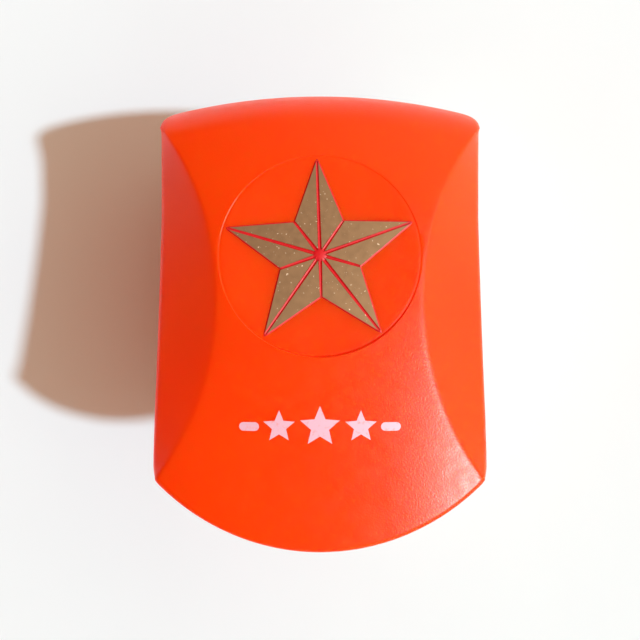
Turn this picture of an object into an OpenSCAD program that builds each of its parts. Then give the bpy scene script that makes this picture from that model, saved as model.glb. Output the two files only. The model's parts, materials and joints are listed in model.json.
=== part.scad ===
// Lever-type craft punch that cuts a 25 mm star.
// +X is the user's right, -Y is the thumb end of the lever, +Y is the pivot end where the paper goes in,
// and +Z is up. The origin is on the table, under the middle of the outline.

/* [Lever cover] */
// Width of the lever cover
lever_w = 49; // [47:0.5:52]
// Length of the lever cover
lever_l = 67.8; // [66:0.2:69]
// Height of the lever's thumb end above the table
lever_h = 50.8; // [50.4:0.1:52]
// Wall thickness of the lever cover
lever_wall = 2.2; // [1.8:0.1:2.6]

/* [Cut shape] */
// Radius of the circle through the star's five points
star_r = 13.3; // [11:0.1:13.5]
// Inner radius of the star as a share of star_r
star_waist = 0.45; // [0.4:0.01:0.5]
// Turn of the star about the vertical, in degrees
star_turn = 1.8; // [0:0.1:3]

/* [Motion] */
// Angle that the lever turns through from open to pressed
press_angle = 13; // [8:0.5:13]
// Height of the gap that takes the paper
paper_gap = 1.2; // [0.8:0.1:1.4]

/* [Hidden] */
eps = 0.01;
$fn = 64;

lever_col = "orangered";
base_col = "ivory";
steel_col = "silver";

// Levels of the stack, from the table up
cover_t = 1.6;
die_z = 4;
die_t = 3;
slot_z = die_z + die_t;
guide_z = slot_z + paper_gap;
guide_t = 3;
spring_z = guide_z + guide_t;
shoulder_z = 16;
washer_t = 0.6;
flange_t = 3;
retainer_t = 2;
button_z = 31.5;
punch_z = guide_z + 0.5;

// The punch, its plunger and its spring stand on one vertical line
cut_y = 7.6;
fit_gap = 0.06;
// Depth that the plunger screw's head is sunk into the button
head_sink = 2.6;
well_r = 17.6;
tower_r = 19.4;
flange_r = 17.2;
button_r = 10.5;
button_gap = 0.4;
chip_r = 14.4;
washer_in_r = 14.2;
stem_r = 13.8;
spring_r = 15.6;
wire_r = 0.65;
spring_turns = 3.5;

// The plunger falls by this much for each radian that the lever turns
fall_per_radian = 15.9;
stroke = fall_per_radian * press_angle * PI / 180;
// Pressed home, the flange stops just before the coils touch
spring_slack = 0.74;
spring_solid = (spring_turns + 1) * 2 * wire_r;
flange_z = spring_z + washer_t + spring_solid + stroke + spring_slack;
retainer_z = flange_z + flange_t + 0.2;

// Pivot of the lever
pivot_y = 23;
pivot_z = 30;
pin_r = 2;
cheek_x = 19;
cheek_t = 1.8;
cheek_r = 4.2;
ear_x = 16.7;
ear_t = 1.8;
bush_r = 3.2;
web_z = 37.2;
web_rear = 18;
web_t = 1.6;
pad_r = 4;
pad_half_w = 9;
pad_rivet_x = 6;
pad_z = button_z + 0.05 + pad_r;

// Screws and rivets
screw_r = 1;
tap_r = 1.05;
clear_r = 1.1;
head_r = 1.9;
plate_head_r = 1.95;
sink_r = 2.05;
sink_t = 1.15;
drive_w = 2.3;
rivet_r = 1.5;
rivet_hole_r = 1.55;
rivet_head_r = 2.9;
pad_rivet_r = 1.2;
boss_r = 3;
corner_boss_r = 3.2;

// Clearance between a sliding or seated part and its pocket
seat_gap = 0.05;
die_gap = 0.15;

// Outline of the base
base_w = 47;
base_front = -28;
base_rear = 33.4;
throat_y = -7;
plate_w = 38;
plate_front = -22;
plate_rear = 31.4;
rivet_spots = [[-13, -12], [13, -12], [-8, -18.5], [8, -18.5]];
front_screw_spots = [[-11, -24.7], [11, -24.7]];
rear_screw_spots = [[-20.3, 24], [20.3, 24]];
bottom_spots = concat(front_screw_spots, rear_screw_spots);
plate_screw_spots = [[-14, 26.4], [14, 26.4]];
retainer_spots = [for (y = [-1, 1]) for (x = [-1, 1]) [x * 11.5, cut_y + y * 16.6]];
cover_boss_spots = [[-9, -10], [9, -10], [0, 15.6]];

// Shape of the lever's top face, seen from above
front_arc_r = 35.2;
rear_arc_r = 108;
nose_r = 6.5;
crown_r = 96;
crease_r = 41;
crease_waist = 14.65;
crease_y = 1.1;
front_corner_x = 23;
front_w = lever_w / 2 - 0.15;
corner_r = 3.3;
pad_tilt = 5.5;
pad_drop = 1.1;
pad_disc_r = 14.5;
facet_gap = 0.36;
// The emblem's points reach further out than the cut star's, because its grooves shorten them
emblem_r = star_r + 0.6;
emblem_waist_r = star_r * star_waist - 0.1;
foil_t = 0.2;
hub_r = 0.9;

// ---------- small helpers ----------

// Star outline: r is the radius through its points
function star_points(r) = [for (i = [0:9])
    (i % 2 == 0 ? r : r * star_waist) * [cos(90 + star_turn + 36 * i), sin(90 + star_turn + 36 * i)]];

module star_prism(r, h) {
    translate([0, cut_y, 0]) linear_extrude(h) polygon(star_points(r));
}

module at_spots(spots, z = 0) {
    for (p = spots) translate([p[0], p[1], z]) children();
}

module mirrored_x() {
    children();
    mirror([1, 0, 0]) children();
}

module tube(r_out, r_in, h) {
    difference() {
        cylinder(r = r_out, h = h);
        translate([0, 0, -eps]) cylinder(r = r_in, h = h + 2 * eps);
    }
}

// Box given by its half width and its ends in Y, standing on z
module slab(half_w, y0, y1, z, h) {
    translate([-half_w, y0, z]) cube([2 * half_w, y1 - y0, h]);
}

// Rounded plan of the base, pulled in by inset
module base_plan(inset = 0) {
    w = base_w / 2 - inset;
    y0 = base_front + inset;
    y1 = base_rear - inset;
    rf = 11 - inset;
    rr = 5 - inset;
    translate([-w + rf, y0]) square([2 * (w - rf), y1 - y0]);
    translate([-w, y0 + rf]) square([2 * w, y1 - y0 - rf - rr]);
    translate([-w + rr, y1 - 2 * rr]) square([2 * (w - rr), 2 * rr]);
    for (s = [-1, 1]) {
        translate([s * (w - rf), y0 + rf]) circle(r = rf);
        translate([s * (w - rr), y1 - rr]) circle(r = rr);
    }
}

module countersunk_screw(r, top_r, head_h, l) {
    difference() {
        union() {
            cylinder(r = r, h = l);
            translate([0, 0, l - head_h]) cylinder(r1 = r, r2 = top_r, h = head_h);
        }
        for (a = [0, 90]) rotate(a)
            translate([-drive_w / 2, -drive_w / 8, l - head_h * 0.6]) cube([drive_w, drive_w / 4, head_h]);
    }
}

// ---------- base ----------

module bottom_cover() {
    color(base_col) difference() {
        linear_extrude(cover_t) base_plan(1.2);
        translate([0, cut_y, -eps]) cylinder(r = chip_r, h = cover_t + 2 * eps);
        at_spots(bottom_spots, -eps) cylinder(r = clear_r, h = cover_t + 2 * eps);
        at_spots(bottom_spots, -eps) cylinder(r1 = sink_r, r2 = clear_r, h = 1.2);
    }
}

module bottom_screws() {
    color(steel_col) {
        at_spots(front_screw_spots, 13.1) mirror([0, 0, 1]) countersunk_screw(screw_r, head_r, 1.1, 13);
        at_spots(rear_screw_spots, 5.3) mirror([0, 0, 1]) countersunk_screw(screw_r, head_r, 1.1, 5.2);
    }
}

module base_lower() {
    color(base_col) difference() {
        union() {
            translate([0, 0, 0.4]) linear_extrude(slot_z - 0.4) base_plan();
            intersection() {
                translate([0, 0, slot_z - eps]) linear_extrude(paper_gap - 0.02) base_plan();
                slab(base_w, base_front - 1, throat_y, slot_z - 1, 5);
            }
        }
        // seat of the bottom cover, then the seat of the die
        translate([0, 0, -eps]) linear_extrude(cover_t + eps) base_plan(1.15);
        slab(plate_w / 2 + seat_gap, plate_front - seat_gap, plate_rear + seat_gap, die_z, 6);
        translate([0, cut_y, 0]) cylinder(r = chip_r, h = 6);
        // lightening pockets under the front and the rear of the die
        slab(13, -20, -10, -1, die_z - 0.2);
        slab(10, 24.5, 29, -1, die_z - 0.2);
        at_spots(front_screw_spots, 0) cylinder(r = tap_r, h = 10);
        at_spots(rear_screw_spots, 0) cylinder(r = tap_r, h = 5.5);
        at_spots(plate_screw_spots, cover_t) cylinder(r = tap_r, h = 4);
        at_spots(rivet_spots, 0) cylinder(r = rivet_head_r + 0.3, h = die_z + 0.2);
        // lead-in that guides the sheet into the slot
        translate([0, base_rear, slot_z]) rotate([45, 0, 0]) cube([base_w + 2, 1.6, 1.6], center = true);
    }
}

module die_plate() {
    color(steel_col) difference() {
        slab(plate_w / 2, plate_front, plate_rear, die_z, die_t);
        translate([0, 0, die_z - eps]) star_prism(star_r + die_gap, die_t + 2 * eps);
        at_spots(rivet_spots, die_z - eps) cylinder(r = rivet_hole_r, h = die_t + 2 * eps);
        at_spots(plate_screw_spots, die_z - eps) cylinder(r = clear_r, h = die_t + 2 * eps);
        at_spots(plate_screw_spots, slot_z - sink_t) cylinder(r1 = clear_r, r2 = sink_r, h = sink_t + eps);
    }
}

module die_screws() {
    color(steel_col) at_spots(plate_screw_spots, slot_z - 5.3)
        countersunk_screw(screw_r, plate_head_r, 1.1, 5.25);
}

module throat_spacer() {
    color(steel_col) difference() {
        slab(plate_w / 2, plate_front, throat_y, slot_z, paper_gap);
        at_spots(rivet_spots, slot_z - eps) cylinder(r = rivet_hole_r, h = paper_gap + 2 * eps);
    }
}

module guide_plate() {
    color(steel_col) difference() {
        slab(plate_w / 2, plate_front, plate_rear, guide_z, guide_t);
        translate([0, 0, guide_z - eps]) star_prism(star_r + die_gap, guide_t + 2 * eps);
        at_spots(rivet_spots, guide_z - eps) cylinder(r = rivet_hole_r, h = guide_t + 2 * eps);
        at_spots(plate_screw_spots, guide_z - eps) cylinder(r = clear_r, h = guide_t + 2 * eps);
        at_spots(plate_screw_spots, guide_z - eps) cylinder(r1 = sink_r, r2 = clear_r, h = sink_t);
        // lead-in on the pivot end
        translate([0, plate_rear, guide_z]) rotate([45, 0, 0]) cube([plate_w + 2, 1, 1], center = true);
    }
}

module guide_screws() {
    color(steel_col) at_spots(plate_screw_spots, guide_z + 7) mirror([0, 0, 1])
        countersunk_screw(screw_r, plate_head_r, 1.1, 6.95);
}

module frame_rivets() {
    color("gainsboro") at_spots(rivet_spots, 0) {
        translate([0, 0, die_z - 1.2]) cylinder(r = rivet_head_r, h = 1.2);
        translate([0, 0, die_z - 0.1]) cylinder(r = rivet_r, h = spring_z - die_z + 0.2);
        translate([0, 0, spring_z]) cylinder(r = 2.6, h = 1);
    }
}

// Side wall that holds the pivot pin, drawn in the YZ plane and extruded along X
module cheek_profile() {
    polygon([[-18, shoulder_z - 1], [-18, shoulder_z + 0.5], [-10, shoulder_z + 2.5],
             [pivot_y - 3.6, pivot_z + 2.2], [pivot_y, pivot_z], [pivot_y + cheek_r, pivot_z],
             [pivot_y + cheek_r, shoulder_z - 1]]);
    translate([pivot_y, pivot_z]) circle(r = cheek_r);
}

module base_upper() {
    color(base_col) difference() {
        union() {
            translate([0, 0, guide_z]) linear_extrude(shoulder_z - guide_z) base_plan();
            mirrored_x() translate([cheek_x, 0, 0]) rotate([90, 0, 90])
                linear_extrude(cheek_t) cheek_profile();
            translate([0, cut_y, guide_z]) cylinder(r = tower_r, h = retainer_z - guide_z);
            at_spots(retainer_spots, shoulder_z - 1)
                cylinder(r = corner_boss_r, h = retainer_z - shoulder_z + 1);
        }
        slab(plate_w / 2 + seat_gap, plate_front - seat_gap, plate_rear + seat_gap,
             guide_z - 1, guide_t + 1);
        translate([0, cut_y, guide_z]) cylinder(r = well_r, h = 30);
        at_spots(retainer_spots, retainer_z - 6) cylinder(r = tap_r, h = 7);
        at_spots(rivet_spots, spring_z - eps) cylinder(r = rivet_head_r, h = 1.4);
        at_spots(plate_screw_spots, spring_z - eps) cylinder(r = tap_r, h = 4.4);
        at_spots(front_screw_spots, guide_z - 1) cylinder(r = tap_r, h = 6.2);
        // hollow under the front deck
        slab(17, -20.5, -15.5, spring_z - eps, 2.6);
        // bores of the pivot pin
        translate([-30, pivot_y, pivot_z]) rotate([0, 90, 0]) cylinder(r = pin_r, h = 60);
        // lead-in that guides the sheet into the slot
        translate([0, base_rear, guide_z]) rotate([45, 0, 0]) cube([base_w + 2, 1.6, 1.6], center = true);
    }
}

// ---------- plunger and spring ----------

// Point number i of n round the wire, at a share u of the spring's length
function coil_point(u, i, n, r, h) =
    let (turn = 360 * spring_turns * u, a = 360 * i / n, rr = r + wire_r * cos(a))
    [rr * cos(turn), rr * sin(turn), wire_r + (h - 2 * wire_r) * u + wire_r * sin(a)];

module coil_spring(r, h, sides = 8, rings = 70) {
    points = [for (k = [0:rings]) for (i = [0:sides - 1]) coil_point(k / rings, i, sides, r, h)];
    walls = [for (k = [0:rings - 1]) for (i = [0:sides - 1]) let (j = (i + 1) % sides, a = k * sides)
             each [[a + i, a + j, a + sides + i], [a + j, a + sides + j, a + sides + i]]];
    caps = [[for (i = [sides - 1:-1:0]) i], [for (i = [0:sides - 1]) rings * sides + i]];
    polyhedron(points = points, faces = concat(walls, caps), convexity = 10);
}

module return_spring() {
    color("gainsboro") translate([0, cut_y, spring_z + washer_t])
        coil_spring(spring_r, flange_z - spring_z - washer_t);
}

module spring_washer() {
    color(steel_col) translate([0, cut_y, spring_z]) tube(well_r - 0.2, washer_in_r, washer_t);
}

module plunger_retainer() {
    color(base_col) difference() {
        union() {
            translate([0, cut_y, retainer_z]) cylinder(r = cheek_x - 0.2, h = retainer_t);
            at_spots(retainer_spots, retainer_z) cylinder(r = corner_boss_r, h = retainer_t);
        }
        translate([0, cut_y, retainer_z - eps]) cylinder(r = button_r + button_gap, h = retainer_t + 2 * eps);
        translate([0, cut_y, retainer_z + retainer_t - 0.8])
            cylinder(r1 = button_r + button_gap, r2 = button_r + 1.3, h = 0.8 + eps);
        at_spots(retainer_spots, retainer_z - eps) cylinder(r = 1.2, h = retainer_t + 2 * eps);
        at_spots(retainer_spots, retainer_z + retainer_t - 1.1) cylinder(r1 = 1.2, r2 = 2.3, h = 1.1 + eps);
    }
}

module retainer_screws() {
    color(steel_col) at_spots(retainer_spots, retainer_z + retainer_t - 6.05)
        countersunk_screw(screw_r, 2.1, 1.05, 6);
}

module star_punch() {
    color("gainsboro") difference() {
        translate([0, 0, punch_z]) star_prism(star_r - fit_gap, shoulder_z - punch_z);
        // hollow-ground end, so that the points of the star cut first
        translate([0, cut_y + 30, punch_z - 105.2]) rotate([90, 0, 0]) cylinder(r = 106, h = 60, $fn = 200);
        translate([0, cut_y, shoulder_z - 5]) cylinder(r = 1.52, h = 6);
    }
}

module plunger() {
    color("dimgray") difference() {
        union() {
            translate([0, cut_y, shoulder_z]) cylinder(r = stem_r, h = flange_z - shoulder_z);
            translate([0, cut_y, flange_z]) cylinder(r = flange_r, h = flange_t);
            translate([0, cut_y, flange_z]) cylinder(r = button_r, h = button_z - flange_z - 1);
            translate([0, cut_y, button_z - 1]) cylinder(r1 = button_r, r2 = button_r - 1, h = 1);
        }
        translate([0, cut_y, shoulder_z - 1]) cylinder(r = 1.6, h = 20);
        translate([0, cut_y, button_z - head_sink]) cylinder(r = 4, h = 3);
    }
}

module plunger_screw() {
    color(steel_col) translate([0, cut_y, 0]) difference() {
        union() {
            translate([0, 0, shoulder_z - 4.6])
                cylinder(r = rivet_r, h = button_z - head_sink - shoulder_z + 5);
            translate([0, 0, button_z - head_sink]) cylinder(r = 3.6, h = 2.2);
        }
        translate([0, 0, button_z - 1.6]) cylinder(r = 1.6, h = 3, $fn = 6);
    }
}

// ---------- pivot ----------

module along_x(x0, x1, r) {
    translate([x0, pivot_y, pivot_z]) rotate([0, 90, 0]) cylinder(r = r, h = x1 - x0);
}

module pivot_pin() {
    end_x = cheek_x + cheek_t;
    color(steel_col) union() {
        along_x(-end_x + 0.4, end_x - 0.4, pin_r - 0.02);
        mirrored_x() translate([end_x - 0.4, pivot_y, pivot_z]) rotate([0, 90, 0])
            cylinder(r1 = pin_r - 0.02, r2 = pin_r - 0.4, h = 0.4);
    }
}

module pivot_washers() {
    color("gainsboro") mirrored_x() difference() {
        along_x(ear_x + ear_t + 0.05, cheek_x - 0.05, 4);
        along_x(ear_x, cheek_x + 1, pin_r + 0.08);
    }
}

module pivot_bushes() {
    color("white") mirrored_x() difference() {
        union() {
            along_x(ear_x - 0.05, ear_x + ear_t, bush_r - 0.02);
            along_x(ear_x - 1.05, ear_x - 0.05, bush_r + 1);
        }
        along_x(ear_x - 2, ear_x + ear_t + 1, pin_r + 0.05);
    }
}

// ---------- lever ----------

module ear_profile() {
    translate([pivot_y, pivot_z]) circle(r = 5);
    polygon([[pivot_y - 5, pivot_z], [9, web_z - 2.2], [-15, web_z - 2.2], [-15, web_z + web_t],
             [web_rear, web_z + web_t], [pivot_y + 4.6, pivot_z + 2]]);
}

module lever_frame() {
    color(steel_col) difference() {
        union() {
            slab(ear_x + ear_t, -15, web_rear, web_z, web_t);
            mirrored_x() translate([ear_x, 0, 0]) rotate([90, 0, 90]) linear_extrude(ear_t) ear_profile();
        }
        along_x(-30, 30, bush_r);
        at_spots(cover_boss_spots, web_z - eps) cylinder(r = 1.4, h = web_t + 2 * eps);
        for (s = [-1, 1]) translate([s * pad_rivet_x, cut_y, web_z - eps])
            cylinder(r = pad_rivet_r + seat_gap, h = web_t + 2 * eps);
    }
}

module press_pad() {
    color("white") difference() {
        union() {
            translate([-pad_half_w, cut_y, pad_z]) rotate([0, 90, 0])
                cylinder(r = pad_r, h = 2 * pad_half_w);
            slab(pad_half_w, cut_y - pad_r, cut_y + pad_r, pad_z, web_z - pad_z);
        }
        slab(10, cut_y - 10, cut_y + 10, web_z, 10);
        for (s = [-1, 1]) translate([s * pad_rivet_x, cut_y, web_z - 4])
            cylinder(r = pad_rivet_r + seat_gap, h = 6);
    }
}

module pad_rivets() {
    color("gainsboro") for (s = [-1, 1]) translate([s * pad_rivet_x, cut_y, 0]) {
        translate([0, 0, web_z - 3.9]) cylinder(r = pad_rivet_r, h = 3.9 + web_t);
        translate([0, 0, web_z + web_t]) cylinder(r1 = 2.2, r2 = 1.6, h = 0.8);
    }
}

module cover_screws() {
    color(steel_col) at_spots(cover_boss_spots, web_z) {
        translate([0, 0, -1.4]) difference() {
            cylinder(r1 = 1.9, r2 = 2.3, h = 1.4);
            translate([-1.3, -0.3, -eps]) cube([2.6, 0.6, 0.7]);
            translate([-0.3, -1.3, -eps]) cube([0.6, 2.6, 0.7]);
        }
        translate([0, 0, -0.1]) cylinder(r = clear_r, h = 5);
    }
}

// ---- top face of the lever cover, as functions of the place in plan ----

half_w = lever_w / 2;
half_l = lever_l / 2;
// Middle line of the top face: its downward slope in degrees at a few places, with arcs between them
bends = [[-half_l, 2.6], [-8, 1.6], [8, 5.5], [20, 12], [27, 24], [half_l, 34]];

// Drop along the arc from bend p to bend q, as far as y
function arc_drop(p, q, y) =
    let (s0 = sin(p[1]), r = (q[0] - p[0]) / (sin(q[1]) - s0), s = s0 + (min(y, q[0]) - p[0]) / r)
    y < p[0] ? 0 : r * (sqrt(1 - s0 * s0) - sqrt(1 - s * s));
function drop_mid(y, k = 0) =
    k + 1 < len(bends) ? arc_drop(bends[k], bends[k + 1], y) + drop_mid(y, k + 1) : 0;

// Extra drop where the top rounds over into the rear wall
function nose_drop(x, y) = let (d = max(0, half_l - x * x / (2 * rear_arc_r) - y))
    d < nose_r ? nose_r - sqrt(nose_r * nose_r - (nose_r - d) * (nose_r - d)) : 0;

// Height of the crowned top, of the facet's low edge, and half width of the waist between the facets
function crown_z(x, y) = lever_h - drop_mid(y) - nose_drop(x, y) - x * x / (2 * crown_r);
function edge_z(y) = let (t = max(0, 14 - y)) lever_h - 11.4 + 0.12 * t + 0.0013 * t * t;
function waist_x(y) = let (d = min(abs(y - crease_y), crease_r - 1))
    crease_waist + crease_r - sqrt(crease_r * crease_r - d * d);
function side_x(y) = half_w - (half_w - front_w) * max(0, min(1, (-16 - y) / 8));
function facet_z(x, y) = let (xc = waist_x(y), w = side_x(y), z0 = edge_z(y))
    xc >= w - 0.05 ? 1e3 : z0 + (crown_z(xc, y) - z0) * (w - x) / (w - xc);
function top_z(x, y) = let (ax = abs(x))
    ax > waist_x(y) ? min(crown_z(ax, y), facet_z(ax, y)) : crown_z(ax, y);

// Right-hand edge of the cover at a share v of the way from front to rear, with both corners rounded
front_corner_y = half_l - front_arc_r;
front_corner_d = sqrt(front_arc_r * front_arc_r - front_corner_x * front_corner_x);
corner_front = [front_corner_x, -front_corner_y - front_corner_d];
corner_side = [front_w, corner_front[1] + 3];
rear_corner_y = half_l - (half_w - corner_r) * (half_w - corner_r) / (2 * rear_arc_r) - corner_r;
function bezier(a, b, c, t) = a * (1 - t) * (1 - t) + b * 2 * t * (1 - t) + c * t * t;
function edge_point(v) =
    v < 0.12 ? bezier(corner_front, [front_w + 0.1, corner_front[1] + 1.25], corner_side, v / 0.12) :
    v < 0.82 ? let (y = corner_side[1] + (rear_corner_y - corner_side[1]) * (v - 0.12) / 0.7) [side_x(y), y] :
    let (a = 84 * (v - 0.82) / 0.18)
    [half_w - corner_r + corner_r * cos(a), rear_corner_y + corner_r * sin(a)];
function mid_y(v) = -half_l + 2 * half_l * v;

// Rows run across the cover, curved like the front edge at v = 0 and like the rear edge at v = 1
function row_bow(v) = 0.68 + (0.25 - 0.68) * v;
function row_y(v, x) = let (e = edge_point(v), t = min(1, abs(x) / e[0]), b = row_bow(v))
    mid_y(v) + (e[1] - mid_y(v)) * (1 - sqrt(1 - b * b * t * t)) / (1 - sqrt(1 - b * b));
function crease_x(v, x, tries) = tries == 0 ? x :
    crease_x(v, min(waist_x(row_y(v, x)), edge_point(v)[0] - 0.3), tries - 1);

facet_cols = 3;
mid_cols = 6;
half_cols = facet_cols + mid_cols;
rows = 26;
// Rows crowd together over the nose, where the top bends most
function row_v(j) = let (s = j / rows) s < 0.8 ? s * 1.1 : 0.88 + 0.12 * sin(90 * (s - 0.8) / 0.2);
function col_x(v, i) = let (k = abs(i), e = edge_point(v)[0], c = crease_x(v, 15, 6))
    sign(i) * (k <= mid_cols ? c * k / mid_cols : c + (e - c) * (k - mid_cols) / facet_cols);

// Outside and inside of the cover at row j and column i
function skin_out(j, i) = let (v = row_v(j), x = col_x(v, i), y = row_y(v, x)) [x, y, top_z(x, y)];
function skin_in(j, i) = let (p = skin_out(j, i), x = p[0] * (half_w - lever_wall) / half_w,
    y = p[1] * (half_l - lever_wall) / half_l) [x, y, top_z(x, y) - lever_wall - 0.2];
// Height of the rim under the edge point p: a thin lip at the thumb, a deep skirt over the pivot
function rim_z(p) = let (t = max(0, min(1, (p[1] + 25) / 42)), s = t * t * (3 - 2 * t))
    (p[2] - 2.9) * (1 - s) + 19.6 * s;

// The border runs once round the grid, anticlockwise from above
border = concat([for (i = [-half_cols:half_cols]) [0, i]],
                [for (j = [1:rows]) [j, half_cols]],
                [for (i = [half_cols - 1:-1:-half_cols]) [rows, i]],
                [for (j = [rows - 1:-1:1]) [j, -half_cols]]);

module cover_skin() {
    nc = 2 * half_cols + 1;
    ng = (rows + 1) * nc;
    nb = len(border);
    grid = [for (j = [0:rows]) for (i = [-half_cols:half_cols]) [j, i]];
    outer = [for (g = grid) skin_out(g[0], g[1])];
    inner = [for (g = grid) skin_in(g[0], g[1])];
    rim_out = [for (b = border) let (p = skin_out(b[0], b[1])) [p[0], p[1], rim_z(p)]];
    rim_in = [for (b = border) let (p = skin_in(b[0], b[1])) [p[0], p[1], rim_z(skin_out(b[0], b[1]))]];
    function at(j, i) = j * nc + i + half_cols;
    quads = [for (j = [0:rows - 1]) for (i = [-half_cols:half_cols - 1])
             [at(j, i), at(j, i + 1), at(j + 1, i + 1), at(j + 1, i)]];
    top = [for (q = quads) each [[q[2], q[1], q[0]], [q[3], q[2], q[0]]]];
    low = ng * [1, 1, 1];
    under = [for (q = quads) each [[q[0], q[1], q[2]] + low, [q[0], q[2], q[3]] + low]];
    walls = [for (k = [0:nb - 1]) let (m = (k + 1) % nb, a = at(border[k][0], border[k][1]),
             b = at(border[m][0], border[m][1]), c = 2 * ng + k, d = 2 * ng + m, e = c + nb, f = d + nb)
             each [[a, b, c], [b, d, c], [c, d, e], [d, f, e], [e, f, a + ng], [f, b + ng, a + ng]]];
    polyhedron(points = concat(outer, inner, rim_out, rim_in), faces = concat(top, under, walls),
               convexity = 10);
}

// Anything placed on the flat disc that carries the star
pad_disc_z = lever_h - drop_mid(cut_y) - pad_drop;
module on_disc() {
    translate([0, cut_y, pad_disc_z]) rotate([-pad_tilt, 0, 0]) children();
}

module lever_cover() {
    color(lever_col) union() {
        difference() {
            cover_skin();
            on_disc() cylinder(r = pad_disc_r, h = 6);
        }
        on_disc() translate([0, 0, -1.8]) cylinder(r = pad_disc_r, h = 1.8);
        for (p = cover_boss_spots) translate([p[0], p[1], web_z + web_t]) difference() {
            cylinder(r = boss_r, h = crown_z(p[0], p[1]) - 1.6 - web_z - web_t);
            translate([0, 0, -eps]) cylinder(r = clear_r, h = 4);
        }
    }
}

// One half of a point of the star, between two grooves
module foil_facet(k) {
    a = 90 + star_turn + 36 * k;
    b = a + 36;
    ra = k % 2 == 0 ? emblem_r : emblem_waist_r;
    rb = k % 2 == 0 ? emblem_waist_r : emblem_r;
    g = facet_gap / 2;
    // the groove's edges run parallel to the two rays that bound the facet
    inner = [cos((a + b) / 2), sin((a + b) / 2)] * max(hub_r, g / sin(18));
    pa = ra * [cos(a), sin(a)];
    pb = rb * [cos(b), sin(b)];
    edge = (pb - pa) / norm(pb - pa);
    qa = pa + edge * g / abs(cross(edge, pa / ra));
    qb = pb - edge * g / abs(cross(edge, pb / rb));
    linear_extrude(foil_t) polygon([inner, qa, qb]);
}

module star_foil() {
    color("darkkhaki") on_disc() for (k = [0:9]) foil_facet(k);
}

bottom_cover();
bottom_screws();
base_lower();
die_plate();
die_screws();
throat_spacer();
guide_plate();
guide_screws();
frame_rivets();
base_upper();
return_spring();
spring_washer();
plunger_retainer();
retainer_screws();
pivot_pin();
pivot_washers();
star_punch();
plunger();
plunger_screw();
lever_frame();
pivot_bushes();
press_pad();
pad_rivets();
cover_screws();
lever_cover();
star_foil();
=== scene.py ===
"""Looks of the star craft punch: a smooth lever cover, a coil spring and procedural materials."""

import json
import math

import bmesh
import bpy
import numpy as np
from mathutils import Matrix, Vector
from mathutils.geometry import delaunay_2d_cdt


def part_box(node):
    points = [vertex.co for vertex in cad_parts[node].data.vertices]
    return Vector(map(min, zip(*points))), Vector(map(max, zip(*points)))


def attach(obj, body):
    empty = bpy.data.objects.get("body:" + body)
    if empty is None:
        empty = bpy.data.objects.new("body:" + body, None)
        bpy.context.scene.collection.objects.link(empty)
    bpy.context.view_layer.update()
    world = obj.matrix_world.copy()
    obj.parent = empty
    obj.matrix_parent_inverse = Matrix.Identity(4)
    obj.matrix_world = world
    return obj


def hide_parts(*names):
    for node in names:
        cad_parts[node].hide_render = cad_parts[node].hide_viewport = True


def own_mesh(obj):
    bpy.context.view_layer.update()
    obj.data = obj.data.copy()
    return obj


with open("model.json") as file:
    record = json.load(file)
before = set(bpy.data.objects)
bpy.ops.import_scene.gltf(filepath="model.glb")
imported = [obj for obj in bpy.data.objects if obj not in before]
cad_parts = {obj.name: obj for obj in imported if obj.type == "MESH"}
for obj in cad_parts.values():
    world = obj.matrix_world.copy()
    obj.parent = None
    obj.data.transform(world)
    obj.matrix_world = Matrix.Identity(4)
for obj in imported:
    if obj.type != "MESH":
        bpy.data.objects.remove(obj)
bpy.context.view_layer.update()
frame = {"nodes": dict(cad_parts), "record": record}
MM = 0.001


def box_mm(node):
    """Lowest and highest corner of a CAD node, in millimetres."""
    low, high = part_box(node)
    return np.array(low) / MM, np.array(high) / MM


# ---------- shape of the lever cover, in millimetres ----------

COVER_LOW, COVER_HIGH = box_mm("lever_cover")
HALF_W = (COVER_HIGH[0] - COVER_LOW[0]) / 2
HALF_L = (COVER_HIGH[1] - COVER_LOW[1]) / 2
LEVER_H = COVER_HIGH[2]
SKIRT_Z = COVER_LOW[2]
WALL = 2.2
SKIN_T = WALL + 0.2
CUT_Y = float(np.mean([c[1] for c in box_mm("plunger")]))
CROWN_R = 96
NOSE_R = 6.5
REAR_ARC_R = 108
FRONT_ARC_R = 35.2
CREASE_R = 41
CREASE_WAIST = 14.65
CREASE_Y = 1.1
CREASE_SOFT = 0.35
FRONT_W = HALF_W - 0.15
FRONT_CORNER_X = 23
CORNER_R = 3.3
EDGE_R = 0.8
LIP_R = 0.45
LIP_T = 2.9
# Y and slope in degrees of the cover's middle line, from the thumb end to the rear
BENDS = [(-HALF_L, 2.6), (-8, 1.6), (8, 5.5), (20, 12), (27, 24), (HALF_L, 34)]
TAPER_Y, TAPER_L = -16, 8
LOW_EDGE_Y, LOW_EDGE_DROP, LOW_EDGE_SLOPE, LOW_EDGE_BEND = 14, 11.4, 0.12, 0.0013
RIM_Y, RIM_RUN = 25, 42
CORNER_LENGTH, CORNER_PULL, CORNER_BULGE = 3, 1.25, 0.1
REAR_CORNER_SWEEP = 84
WALL_STEPS, INNER_STEPS, BEND_STEPS = 9, 6, 7
# Mesh spacing along the outline, over the top and over the underside
OUTLINE_STEP = 0.5
TOP_STEP = 0.55
UNDER_STEP = 1.4
CREASE_STEP, CREASE_OFFSETS, CREASE_ROOM = 0.4, (-0.35, -0.12, 0.12, 0.35), 0.3
BOSSES = [(-9, -10), (9, -10), (0, 15.6)]
BOSS_R, BOSS_HOLE_R, BOSS_HOLE_DEPTH, BOSS_ROOT = 3, 1.1, 4, 1.6
BOSS_CHAMFER = 0.3

DISC_R = 14.5
DISC_TILT = math.radians(5.5)
DISC_DROP = 1.1
# Radius and height of the disc's section, from its wall over a shallow groove to the flat
DISC_SECTION = [(14.5, -0.02), (14.42, -0.05), (14.32, -0.05), (14.2, -0.02), (14.05, 0.0)]


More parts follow.
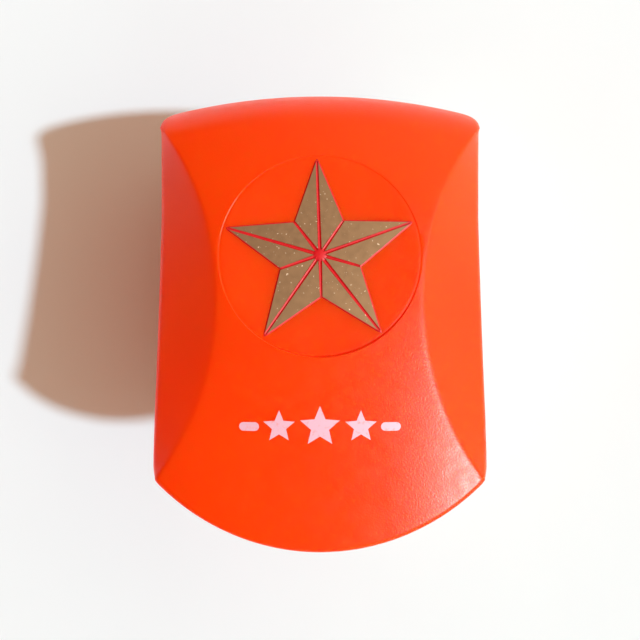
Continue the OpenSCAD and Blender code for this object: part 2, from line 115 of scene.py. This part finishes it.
def middle_drop(y):
    """Drop of the middle line below the thumb end: arcs between the bends."""
    drop = np.zeros(np.shape(y))
    for (y0, a0), (y1, a1) in zip(BENDS, BENDS[1:]):
        s0, s1 = math.sin(math.radians(a0)), math.sin(math.radians(a1))
        radius = (y1 - y0) / (s1 - s0)
        s = s0 + (np.clip(y, y0, y1) - y0) / radius
        drop += radius * (math.sqrt(1 - s0 * s0) - np.sqrt(1 - s * s))
    return drop


def crown(x, y):
    """Height of the crowned top, without the side facets."""
    to_edge = np.maximum(0, HALF_L - x * x / (2 * REAR_ARC_R) - y)
    nose = np.maximum(0, NOSE_R - to_edge)
    rounded = np.where(nose > 0, NOSE_R - np.sqrt(NOSE_R**2 - nose**2), 0)
    return LEVER_H - middle_drop(y) - rounded - x * x / (2 * CROWN_R)


def waist(y):
    """Distance of the crease from the middle line."""
    d = np.minimum(np.abs(y - CREASE_Y), CREASE_R - 1)
    return CREASE_WAIST + CREASE_R - np.sqrt(CREASE_R**2 - d**2)


def side(y):
    """Half width of the cover, a little narrower towards the thumb end."""
    return HALF_W - (HALF_W - FRONT_W) * np.clip((TAPER_Y - y) / TAPER_L, 0, 1)


def low_edge(y):
    """Height of the outer edge of the side facets."""
    t = np.maximum(0, LOW_EDGE_Y - y)
    return LEVER_H - LOW_EDGE_DROP + LOW_EDGE_SLOPE * t + LOW_EDGE_BEND * t * t


def skin(x, y):
    """Height of the outside of the cover, with the crease between crown and facet slightly soft."""
    x = np.abs(x)
    crease, edge, low = waist(y), side(y), low_edge(y)
    room = np.maximum(edge - crease, 0.05)
    facet = low + (crown(crease, y) - low) * (edge - x) / room
    facet = np.where(crease >= edge - 0.05, 1e3, facet)
    top = crown(x, y)
    gap = np.clip(0.5 + 0.5 * (top - facet) / CREASE_SOFT, 0, 1)
    soft = top + (facet - top) * gap - CREASE_SOFT * gap * (1 - gap)
    return np.where(facet > top + CREASE_SOFT, top, soft)


DISC_Z = LEVER_H - float(middle_drop(np.array([CUT_Y]))[0]) - DISC_DROP


def disc_radius(x, y):
    return np.hypot(x, (y - CUT_Y) / math.cos(DISC_TILT))


def top_face(x, y):
    """Height of the cover's outside with the disc set into it."""
    r = disc_radius(x, y)
    radii, heights = zip(*reversed(DISC_SECTION))
    level = DISC_Z - (y - CUT_Y) * math.tan(DISC_TILT)
    on_disc = level + np.interp(r, radii, heights) / math.cos(DISC_TILT)
    return np.where(r < DISC_R + 0.01, on_disc, skin(x, y))


def bezier(a, b, c, count):
    t = np.linspace(0, 1, count)[:, None]
    return (1 - t) ** 2 * np.array(a) + 2 * t * (1 - t) * np.array(b) + t**2 * np.array(c)


def even(points, step):
    """Points of a closed line at an even spacing of about step."""
    closed = np.vstack([points, points[:1]])
    along = np.concatenate([[0], np.cumsum(np.linalg.norm(np.diff(closed, axis=0), axis=1))])
    at = np.linspace(0, along[-1], int(along[-1] / step), endpoint=False)
    return np.column_stack([np.interp(at, along, closed[:, k]) for k in (0, 1)])


def cover_outline(step):
    """The cover's outline in plan, anticlockwise, evenly spaced."""
    centre_y = FRONT_ARC_R - HALF_L
    swing = math.asin(FRONT_CORNER_X / FRONT_ARC_R)
    a = np.linspace(0, swing, 40)
    front = np.column_stack([FRONT_ARC_R * np.sin(a), centre_y - FRONT_ARC_R * np.cos(a)])
    start = front[-1]
    corner_end = (FRONT_W, start[1] + CORNER_LENGTH)
    corner = bezier(start, (FRONT_W + CORNER_BULGE, start[1] + CORNER_PULL), corner_end, 24)
    inner = HALF_W - CORNER_R
    corner_y = HALF_L - inner**2 / (2 * REAR_ARC_R) - CORNER_R
    y = np.linspace(corner_end[1], corner_y, 60)
    flank = np.column_stack([side(y), y])
    a = np.radians(np.linspace(0, REAR_CORNER_SWEEP, 24))
    rear_corner = np.column_stack([inner + CORNER_R * np.cos(a), corner_y + CORNER_R * np.sin(a)])
    x = np.linspace(rear_corner[-1][0], 0, 30)
    rear = np.column_stack([x, HALF_L - x**2 / (2 * REAR_ARC_R)])
    right = np.vstack([front, corner[1:], flank[1:], rear_corner[1:], rear[1:]])
    left = right[-2:0:-1] * [-1, 1]
    return even(np.vstack([right, left]), step)


def inward(outline):
    """Unit normals of a closed anticlockwise outline, pointing inwards."""
    along = np.roll(outline, -1, axis=0) - np.roll(outline, 1, axis=0)
    normal = np.column_stack([-along[:, 1], along[:, 0]])
    return normal / np.linalg.norm(normal, axis=1)[:, None]


def inside(points, outline):
    """Which points lie inside a closed outline."""
    x, y = points[:, 0][:, None], points[:, 1][:, None]
    a, b = outline, np.roll(outline, -1, axis=0)
    rises = (a[:, 1] > y) != (b[:, 1] > y)
    slope = (b[:, 0] - a[:, 0]) / np.where(b[:, 1] == a[:, 1], 1e-9, b[:, 1] - a[:, 1])
    crossings = rises & (x < a[:, 0] + (y - a[:, 1]) * slope)
    return crossings.sum(axis=1) % 2 == 1


def clearance(points, line):
    """Distance from each point to the nearest point of a line."""
    return np.array([np.min(np.hypot(*(line - p).T)) for p in points])


def patch(outline, step, rings=(), lines=(), height=top_face):
    """Points and triangles that fill an outline, with edges along the rings and the open lines."""
    low, high = outline.min(0), outline.max(0)
    xs = np.arange(low[0] + step / 2, high[0], step)
    ys = np.arange(low[1] + step / 2, high[1], step * 0.87)
    grid = np.array([(x + step / 2 * (j % 2), y) for j, y in enumerate(ys) for x in xs])
    grid = grid[inside(grid, outline)]
    for line in (outline, *rings, *lines):
        grid = grid[clearance(grid, line) > 0.55 * step]
    loops, edges, start = [outline, *rings, *lines], [], 0
    for k, loop in enumerate(loops):
        n = len(loop)
        is_open = k > len(rings)
        edges += [(start + i, start + (i + 1) % n) for i in range(n - is_open)]
        start += n
    points = np.vstack([*loops, grid])
    flat = [Vector(p) for p in points]
    border = [list(range(len(outline)))]
    made = delaunay_2d_cdt(flat, edges, border, 1, 1e-5, False)
    plan = np.array([tuple(p) for p in made[0]])
    faces = np.array([tuple(f) for f in made[2]])
    faces = faces[inside(plan[faces].mean(axis=1), outline)]
    return np.column_stack([plan, height(plan[:, 0], plan[:, 1])]), faces.tolist()


def ring_band(count, start):
    """Quads between two rings of count points, stored one after the other."""
    return [
        (start + k, start + count + k, start + count + (k + 1) % count, start + (k + 1) % count)
        for k in range(count)
    ]


class Shell:
    """Collects points in millimetres and faces, then makes one mesh object in metres."""

    def __init__(self):
        self.points, self.faces, self.count = [], [], 0

    def add(self, points, faces, flip=False):
        step = -1 if flip else 1
        self.faces += [tuple(i + self.count for i in f)[::step] for f in faces]
        self.points.append(np.asarray(points, float))
        self.count += len(points)

    def rings(self, rings):
        """Closed rings joined one to the next."""
        n = len(rings[0])
        faces = [f for k in range(len(rings) - 1) for f in ring_band(n, k * n)]
        self.add(np.vstack(rings), faces)

    def build(self, name, sharp_degrees=35):
        mesh = bpy.data.meshes.new(name)
        mesh.from_pydata((np.vstack(self.points) * MM).tolist(), [], self.faces)
        work = bmesh.new()
        work.from_mesh(mesh)
        bmesh.ops.remove_doubles(work, verts=work.verts, dist=0.004 * MM)
        bmesh.ops.recalc_face_normals(work, faces=work.faces)
        work.to_mesh(mesh)
        work.free()
        mesh.shade_smooth()
        mesh.set_sharp_from_angle(angle=math.radians(sharp_degrees))
        piece = bpy.data.objects.new(name, mesh)
        bpy.context.scene.collection.objects.link(piece)
        return piece


def rim_height(x, y):
    """Height of the cover's lower rim: a thin lip at the thumb, a deep skirt over the pivot."""
    t = np.clip((y + RIM_Y) / RIM_RUN, 0, 1)
    s = t * t * (3 - 2 * t)
    return (skin(x, y) - LIP_T) * (1 - s) + SKIRT_Z * s


def disc_ring(radius, count=200):
    a = np.linspace(0, 2 * math.pi, count, endpoint=False)
    return np.column_stack([radius * np.cos(a), CUT_Y + radius * np.sin(a) * math.cos(DISC_TILT)])


def lifted(plan, z):
    return np.column_stack([plan, z])


def tube_mm(x, y, z0, z1, r_out, r_in, depth, count=48):
    """Rings of a round boss with a blind hole that is depth deep, open at its lower end."""
    a = np.linspace(0, 2 * math.pi, count, endpoint=False)
    c = BOSS_CHAMFER
    section = [(0, z0 + depth), (r_in, z0 + depth), (r_in, z0 + c), (r_in + c, z0)]
    section += [(r_out - c, z0), (r_out, z0 + c), (r_out, z1)]
    return [
        np.column_stack([x + max(r, 1e-3) * np.cos(a), y + max(r, 1e-3) * np.sin(a), np.full(count, z)])
        for r, z in section
    ]


def crease_lines(outline):
    """Open lines along both creases and just beside them, so that the mesh follows the crease."""
    y = np.arange(-HALF_L, HALF_L, CREASE_STEP)
    lines = []
    for x in (waist(y) + offset for offset in CREASE_OFFSETS):
        line = np.column_stack([x, y])
        line = line[inside(line, outline)]
        line = line[clearance(line, outline) > CREASE_ROOM]
        lines += [line, line * [-1, 1]]
    return lines


def make_cover():
    outline = cover_outline(OUTLINE_STEP)
    normal = inward(outline)
    shell = Shell()
    # top face, then the rounding down to the side wall
    top_plan = outline + normal * EDGE_R
    rings = [disc_ring(DISC_R + 0.06), *(disc_ring(r) for r, _ in DISC_SECTION)]
    shell.add(*patch(top_plan, TOP_STEP, rings, crease_lines(top_plan)))
    wall = []
    for bend in (math.pi / 2 * k / (BEND_STEPS - 1) for k in range(BEND_STEPS)):
        plan = outline + normal * EDGE_R * (1 - math.sin(bend))
        z = top_face(plan[:, 0], plan[:, 1]) - EDGE_R * (1 - math.cos(bend))
        wall.append(lifted(plan, z))
    edge_z = wall[-1][:, 2]
    rim = rim_height(outline[:, 0], outline[:, 1])
    for share in np.linspace(0, 1, WALL_STEPS)[1:]:
        wall.append(lifted(outline, edge_z + (rim + LIP_R - edge_z) * share))
    inner_plan = outline * [(HALF_W - WALL) / HALF_W, (HALF_L - WALL) / HALF_L]
    across = inner_plan - outline
    span = np.linalg.norm(across, axis=1)[:, None]
    # rounded lower rim
    for bend in np.radians([30, 60, 90]):
        plan = outline + across / span * LIP_R * (1 - math.cos(bend))
        wall.append(lifted(plan, rim + LIP_R * (1 - math.sin(bend))))
    for bend in np.radians([90, 60, 30, 0]):
        plan = inner_plan - across / span * LIP_R * (1 - math.cos(bend))
        wall.append(lifted(plan, rim + LIP_R * (1 - math.sin(bend))))
    # inside of the wall, then the underside of the skin
    under = skin(outline[:, 0], outline[:, 1]) - SKIN_T
    for share in np.linspace(0, 1, INNER_STEPS)[1:]:
        wall.append(lifted(inner_plan, rim + LIP_R + (under - rim - LIP_R) * share))
    shell.rings(wall)

    def underside(x, y):
        grow_x, grow_y = HALF_W / (HALF_W - WALL), HALF_L / (HALF_L - WALL)
        return skin(x * grow_x, y * grow_y) - SKIN_T

    shell.add(*patch(inner_plan, UNDER_STEP, height=underside), flip=True)
    frame_top = box_mm("lever_frame")[1][2]
    for x, y in BOSSES:
        top = float(crown(np.array([x]), np.array([y]))[0]) - BOSS_ROOT
        shell.rings(tube_mm(x, y, frame_top, top, BOSS_R, BOSS_HOLE_R, BOSS_HOLE_DEPTH))
    return shell.build("cover_shell")


# ---------- printed motif: a row of small stars between dashes, in place of any lettering ----------

MOTIF_Y = -16.5
MOTIF_LIFT = 0.02
# X and radius of each star, then place and size of the dashes beside them
MOTIF_STARS = [(-5.7, 2.3), (0, 2.9), (5.7, 2.3)]
DASH_X, DASH_LENGTH, DASH_HEIGHT = 9.9, 2.8, 1.2


def star_outline(x, y, r, waist_share=0.45, turn=90):
    a = np.radians(turn + 36 * np.arange(10))
    radius = np.where(np.arange(10) % 2 == 0, r, r * waist_share)
    return np.column_stack([x + radius * np.cos(a), y + radius * np.sin(a)])


def dash_outline(x, y, length, height):
    a = np.radians(np.linspace(-90, 90, 9))
    cap = np.column_stack([np.cos(a), np.sin(a)]) * height / 2
    right = cap + [length / 2 - height / 2, 0]
    return np.vstack([right, -right]) + [x, y]


def finer(outline, step):
    """The same corners with extra points along the straight stretches."""
    out = []
    for a, b in zip(outline, np.roll(outline, -1, axis=0)):
        n = max(1, int(np.linalg.norm(b - a) / step))
        out += [a + (b - a) * k / n for k in range(n)]
    return np.array(out)


def make_motif():
    shapes = [star_outline(x, MOTIF_Y, r) for x, r in MOTIF_STARS]
    shapes += [dash_outline(x, MOTIF_Y, DASH_LENGTH, DASH_HEIGHT) for x in (-DASH_X, DASH_X)]
    shell = Shell()
    for shape in shapes:
        shell.add(*patch(finer(shape, 0.3), 0.3, height=lambda x, y: skin(x, y) + MOTIF_LIFT))
    return shell.build("printed_motif")


# ---------- grooves and edging of the star emblem ----------

EMBLEM_R = 13.9
EMBLEM_WAIST_R = 5.885
EMBLEM_TURN = 1.8
GROOVE_W = 0.36
HUB_R = 0.9
# Share of the half width and height of the groove's section, radius and height of the hub's,
# and distance out and height of the star's sloped edge
GROOVE_SECTION = [(-1, 0.17), (-0.35, 0.03), (0.35, 0.03), (1, 0.17)]
HUB_SECTION = [(0.01, 0.2), (0.45, 0.18), (0.8, 0.11), (HUB_R + 0.1, 0.02)]
EDGE_SECTION = [(-0.02, 0.14), (0.05, 0.11), (0.14, 0.04), (0.2, 0.01)]
GROOVE_STEPS = 24


def on_disc(points):
    """Moves points given on the disc (X, Y, height) to their place on the cover."""
    x, y, z = np.asarray(points, float).T
    c, s = math.cos(DISC_TILT), math.sin(DISC_TILT)
    return np.column_stack([x, CUT_Y + y * c + z * s, DISC_Z - y * s + z * c])


def strip(shell, ring):
    """Rows of points joined into a strip of quads, one row per step along it."""
    rows, across = len(ring), len(ring[0])
    faces = [
        (r * across + c, r * across + c + 1, (r + 1) * across + c + 1, (r + 1) * across + c)
        for r in range(rows - 1)
        for c in range(across - 1)
    ]
    shell.add(on_disc(np.vstack(ring)), faces)


def make_seat():
    """V grooves between the foil's facets, the hub where they meet, and a sloped edge round the star."""
    shell = Shell()
    for k in range(10):
        a = math.radians(90 + EMBLEM_TURN + 36 * k)
        along, across = np.array([math.cos(a), math.sin(a)]), np.array([-math.sin(a), math.cos(a)])
        reach = EMBLEM_R - 0.2 if k % 2 == 0 else EMBLEM_WAIST_R
        half = GROOVE_W / 2 + 0.02
        places = np.linspace(HUB_R * 0.6, reach, GROOVE_STEPS)
        strip(shell, [[(*(along * r + across * w * half), z) for w, z in GROOVE_SECTION] for r in places])
    turn = np.linspace(0, 2 * math.pi, 49)
    strip(shell, [[(r * math.cos(a), r * math.sin(a), z) for r, z in HUB_SECTION] for a in turn])
    corners = star_outline(0, 0, EMBLEM_R, EMBLEM_WAIST_R / EMBLEM_R, 90 + EMBLEM_TURN)
    edge = finer(corners, 0.4)
    away = -inward(edge)
    ring = [[(*(p + n * out), z) for out, z in EDGE_SECTION] for p, n in zip(edge, away)]
    strip(shell, [*ring, ring[0]])
    return shell.build("emblem_seat", 60)


# ---------- coil spring ----------

SPRING_TURNS = 3.5
WIRE_R = 0.65
WIRE_SIDES, WIRE_STEPS = 16, 240


def make_spring():
    low, high = box_mm("return_spring")
    centre = (low + high) / 2
    coil_r = (high[0] - low[0]) / 2 - WIRE_R
    shell = Shell()
    rings = []
    for k in range(WIRE_STEPS + 1):
        u = k / WIRE_STEPS
        turn = 2 * math.pi * SPRING_TURNS * u
        a = np.linspace(0, 2 * math.pi, WIRE_SIDES, endpoint=False)
        r = coil_r + WIRE_R * np.cos(a)
        z = low[2] + WIRE_R + (high[2] - low[2] - 2 * WIRE_R) * u + WIRE_R * np.sin(a)
        rings.append(np.column_stack([r * math.cos(turn), CUT_Y + r * math.sin(turn), z]))
    shell.rings(rings)
    for ring, flip in ((rings[0], False), (rings[-1], True)):
        shell.add(ring, [tuple(range(WIRE_SIDES))], flip)
    return shell.build("coil_spring", 60)


# ---------- materials ----------


def socket_value(node, **values):
    for name, value in values.items():
        node.inputs[name.replace("_", " ")].default_value = value


class Paint:
    """A Principled material with a few noise layers on it."""

    def __init__(self, name, color, roughness, metallic=0.0, **sockets):
        self.mat = bpy.data.materials.new(name)
        self.mat.use_nodes = True
        self.tree = self.mat.node_tree
        self.shader = self.tree.nodes["Principled BSDF"]
        self.color, self.roughness = color, roughness
        socket_value(self.shader, Base_Color=(*color, 1), Roughness=roughness, Metallic=metallic)
        socket_value(self.shader, **sockets)
        self.place = self.tree.nodes.new("ShaderNodeTexCoord").outputs["Object"]
        self.bump_end = None

    def noise(self, scale, detail=3.0, stretch=(1, 1, 1)):
        """Noise whose features are about 1 / scale millimetres, stretched along an axis."""
        mapping = self.tree.nodes.new("ShaderNodeMapping")
        mapping.inputs["Scale"].default_value = [scale / MM / s for s in stretch]
        self.tree.links.new(self.place, mapping.inputs["Vector"])
        node = self.tree.nodes.new("ShaderNodeTexNoise")
        socket_value(node, Scale=1.0, Detail=detail)
        self.tree.links.new(mapping.outputs["Vector"], node.inputs["Vector"])
        return node.outputs["Fac"]

    def ramp(self, source, low, high, at=(0.3, 0.7)):
        """Maps a 0 to 1 value to numbers between low and high."""
        node = self.tree.nodes.new("ShaderNodeMapRange")
        values = (at[0], at[1], low, high)
        for key, value in zip(("From Min", "From Max", "To Min", "To Max"), values):
            node.inputs[key].default_value = value
        self.tree.links.new(source, node.inputs["Value"])
        return node.outputs["Result"]

    def vary_roughness(self, source, spread):
        low, high = self.roughness - spread, self.roughness + spread
        self.tree.links.new(self.ramp(source, low, high), self.shader.inputs["Roughness"])

    def vary_color(self, source, other, at=(0.3, 0.7)):
        node = self.tree.nodes.new("ShaderNodeMix")
        node.data_type = "RGBA"
        node.inputs[6].default_value = (*self.color, 1)
        node.inputs[7].default_value = (*other, 1)
        self.tree.links.new(self.ramp(source, 0, 1, at), node.inputs[0])
        self.tree.links.new(node.outputs[2], self.shader.inputs["Base Color"])

    def bump(self, source, height_mm, strength=1.0):
        node = self.tree.nodes.new("ShaderNodeBump")
        node.inputs["Strength"].default_value = strength
        node.inputs["Distance"].default_value = height_mm * MM
        self.tree.links.new(source, node.inputs["Height"])
        if self.bump_end:
            self.tree.links.new(self.bump_end, node.inputs["Normal"])
        self.bump_end = node.outputs["Normal"]
        self.tree.links.new(self.bump_end, self.shader.inputs["Normal"])


def cover_plastic():
    # Painted glow: a weak constant red emission that brightens the shaded side facets, in place of light
    # that passes through and scatters in the plastic.
    glow = {"Emission_Color": (1.0, 0.012, 0.0, 1), "Emission_Strength": 0.14}
    depth = {"Subsurface_Weight": 0.8, "Subsurface_Scale": 4.0 * MM, "Subsurface_Radius": (1.0, 0.08, 0.05)}
    gloss = {"IOR": 1.45, "Specular_IOR_Level": 0.2}
    paint = Paint("orange_cover", (1.0, 0.066, 0.0015), 0.33, **depth, **gloss, **glow)
    paint.vary_color(paint.noise(0.06), (0.97, 0.056, 0.0015))
    paint.vary_roughness(paint.noise(0.5, 4), 0.05)
    paint.bump(paint.noise(4.0, 2), 0.03, 0.8)
    paint.bump(paint.noise(0.25), 0.02, 0.25)
    return paint.mat


def groove_painted_shade():
    # Painted shade: the grooves, hub and sloped edge of the star are the cover's orange plastic, coloured
    # deep red in place of the shade that falls in and around them. The noise only makes that tone uneven.
    paint = Paint("painted_shade_groove", (0.82, 0.007, 0.012), 0.5, Specular_IOR_Level=0.3)
    paint.vary_color(paint.noise(0.8, 4), (0.66, 0.004, 0.01))
    paint.vary_roughness(paint.noise(1.5, 3), 0.06)
    paint.bump(paint.noise(4.5, 3), 0.008, 0.5)
    return paint.mat


def foil():
    paint = Paint("bronze_foil", (0.33, 0.2, 0.105), 0.5, 1.0)
    paint.vary_color(paint.noise(2.6, 2), (0.9, 0.74, 0.55), (0.69, 0.76))
    paint.vary_roughness(paint.noise(1.2, 4), 0.03)
    paint.bump(paint.noise(6, 3), 0.006, 0.4)
    return paint.mat


def ink():
    paint = Paint("pale_ink", (0.98, 0.52, 0.62), 0.5)
    paint.vary_color(paint.noise(1.6, 5), (1.0, 0.36, 0.36), (0.56, 0.72))
    paint.bump(paint.noise(5, 3), 0.005, 0.4)
    return paint.mat


def moulded(name, color, dark, roughness, grain=3.5):
    """Spark-textured plastic, a little uneven in tone."""
    paint = Paint(name, color, roughness, Subsurface_Weight=0.12, Subsurface_Scale=1.0 * MM)
    paint.vary_color(paint.noise(0.08, 4), dark)
    paint.vary_roughness(paint.noise(0.6, 4), 0.07)
    paint.bump(paint.noise(grain, 3), 0.02, 0.45)
    return paint.mat


def metal(name, color, roughness, stretch=(1, 1, 1), scale=2.0, depth=0.006):
    """Bare metal: grinding lines along stretch, and a faint mottling."""
    paint = Paint(name, color, roughness, 1.0)
    paint.vary_color(paint.noise(0.3, 4), tuple(c * 0.86 for c in color))
    lines = paint.noise(scale, 4, stretch)
    paint.vary_roughness(lines, 0.08)
    paint.bump(lines, depth, 0.5)
    return paint.mat


MATERIALS = {
    "cover_plastic": cover_plastic(),
    "bronze_foil": foil(),
    "base_plastic": moulded("cream_base", (0.6, 0.57, 0.5), (0.55, 0.52, 0.45), 0.5),
    "plunger_plastic": moulded("dark_acetal", (0.035, 0.035, 0.04), (0.05, 0.05, 0.055), 0.42),
    "pad_plastic": moulded("natural_nylon", (0.72, 0.70, 0.64), (0.66, 0.64, 0.57), 0.4, 2.5),
    "plate_steel": metal("ground_plate", (0.58, 0.59, 0.61), 0.3, (14, 1, 1)),
    "cutter_steel": metal("tool_steel", (0.62, 0.63, 0.65), 0.22, (1, 1, 18), 3.0),
    "frame_steel": metal("pressed_steel", (0.6, 0.61, 0.6), 0.34, (1, 6, 1), 1.2),
    "screw_steel": metal("zinc_screw", (0.66, 0.67, 0.69), 0.28, (1, 1, 1), 3.0),
    "pin_steel": metal("polished_pin", (0.68, 0.69, 0.71), 0.18, (10, 1, 1), 4.0, 0.003),
    "spring_steel": metal("spring_wire", (0.5, 0.51, 0.53), 0.25, (1, 1, 1), 2.5, 0.004),
}

for part in frame["record"]["subparts"]:
    node = frame["nodes"][part["node"]]
    node.data.materials.clear()
    node.data.materials.append(MATERIALS[part["material_slot"]])


def soften_edges(node_name, width_mm):
    """Rounds a CAD node's edges with modifiers, which leaves its own mesh alone."""
    node = frame["nodes"][node_name]
    node.data.shade_smooth()
    weld = node.modifiers.new("join_faces", "WELD")
    weld.merge_threshold = 0.002 * MM
    bevel = node.modifiers.new("round_edges", "BEVEL")
    bevel.width = width_mm * MM
    bevel.segments = 3
    bevel.limit_method = "ANGLE"
    bevel.angle_limit = math.radians(34)
    bevel.harden_normals = True


for name in ("base_upper", "base_lower", "plunger_retainer", "bottom_cover"):
    soften_edges(name, 0.3)
for name in ("lever_frame", "die_plate", "guide_plate", "throat_spacer", "plunger", "press_pad"):
    soften_edges(name, 0.12)

cover = make_cover()
cover.data.materials.append(MATERIALS["cover_plastic"])
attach(cover, "lever")
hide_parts("lever_cover")

motif = make_motif()
motif.data.materials.append(ink())
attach(motif, "lever")

seat = make_seat()
# The seat is painted deep red as shade in the grooves and round the star.
seat.data.materials.append(groove_painted_shade())
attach(seat, "lever")

spring = make_spring()
spring.data.materials.append(MATERIALS["spring_steel"])
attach(spring, "base")
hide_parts("return_spring")
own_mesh(spring)

# ---------- floor, light and camera ----------

LIGHT_FROM = (0.639, -0.173, 0.748)
CAMERA_AT = (0, -0.00165, 0.1499)

def make_floor():
    bpy.ops.mesh.primitive_plane_add(size=4)
    floor = bpy.context.object
    floor.name = "floor"
    paint = Paint("pale_floor", (0.9, 0.9, 0.895), 0.9)
    paint.vary_color(paint.noise(0.02), (0.88, 0.88, 0.875))
    floor.data.materials.append(paint.mat)


def make_light():
    world = bpy.data.worlds.new("studio")
    bpy.context.scene.world = world
    world.use_nodes = True
    tree = world.node_tree
    split = tree.nodes.new("ShaderNodeSeparateXYZ")
    tree.links.new(tree.nodes.new("ShaderNodeTexCoord").outputs["Generated"], split.inputs[0])
    # dim and red on the left, pale on the right, and dim straight above
    sideways = tree.nodes.new("ShaderNodeMapRange")
    socket_value(sideways, From_Min=-0.4, From_Max=0.4)
    tree.links.new(split.outputs["X"], sideways.inputs["Value"])
    tint = tree.nodes.new("ShaderNodeMix")
    tint.data_type = "RGBA"
    tint.inputs[6].default_value = (0.46, 0.07, 0.02, 1)
    tint.inputs[7].default_value = (1.4, 1.25, 0.92, 1)
    tree.links.new(sideways.outputs["Result"], tint.inputs[0])
    upward = tree.nodes.new("ShaderNodeMapRange")
    upward.interpolation_type = "SMOOTHSTEP"
    socket_value(upward, From_Min=0.6, From_Max=0.92, To_Min=1.0, To_Max=0.15)
    tree.links.new(split.outputs["Z"], upward.inputs["Value"])
    background = tree.nodes["Background"]
    tree.links.new(tint.outputs[2], background.inputs["Color"])
    tree.links.new(upward.outputs["Result"], background.inputs["Strength"])
    # the backdrop itself shows as a plain pale grey
    backdrop = tree.nodes.new("ShaderNodeBackground")
    backdrop.inputs["Color"].default_value = (0.86, 0.86, 0.85, 1)
    seen = tree.nodes.new("ShaderNodeMixShader")
    tree.links.new(tree.nodes.new("ShaderNodeLightPath").outputs["Is Camera Ray"], seen.inputs[0])
    tree.links.new(background.outputs[0], seen.inputs[1])
    tree.links.new(backdrop.outputs[0], seen.inputs[2])
    tree.links.new(seen.outputs[0], tree.nodes["World Output"].inputs["Surface"])
    sun = bpy.data.lights.new("key", "SUN")
    sun.energy = 3.25
    sun.color = (0.59, 0.84, 0.98)
    sun.angle = math.radians(3)
    # the key light's broad glint, which gives reflections and no shading
    glow = bpy.data.lights.new("glint", "SUN")
    glow.energy = 5.0
    glow.color = (1.0, 0.84, 0.74)
    glow.angle = math.radians(16)
    for lamp in (sun, glow):
        holder = bpy.data.objects.new(lamp.name, lamp)
        holder.rotation_euler = Vector(LIGHT_FROM).to_track_quat("Z", "Y").to_euler()
        holder.visible_diffuse = lamp is sun
        bpy.context.scene.collection.objects.link(holder)


def make_camera():
    data = bpy.data.cameras.new("camera")
    data.lens = 40.43
    data.sensor_width = 36
    data.clip_start = 0.005
    camera = bpy.data.objects.new("camera", data)
    camera.location = CAMERA_AT
    bpy.context.scene.collection.objects.link(camera)
    bpy.context.scene.camera = camera


make_floor()
make_light()
make_camera()
bpy.context.scene.view_settings.view_transform = "Standard"
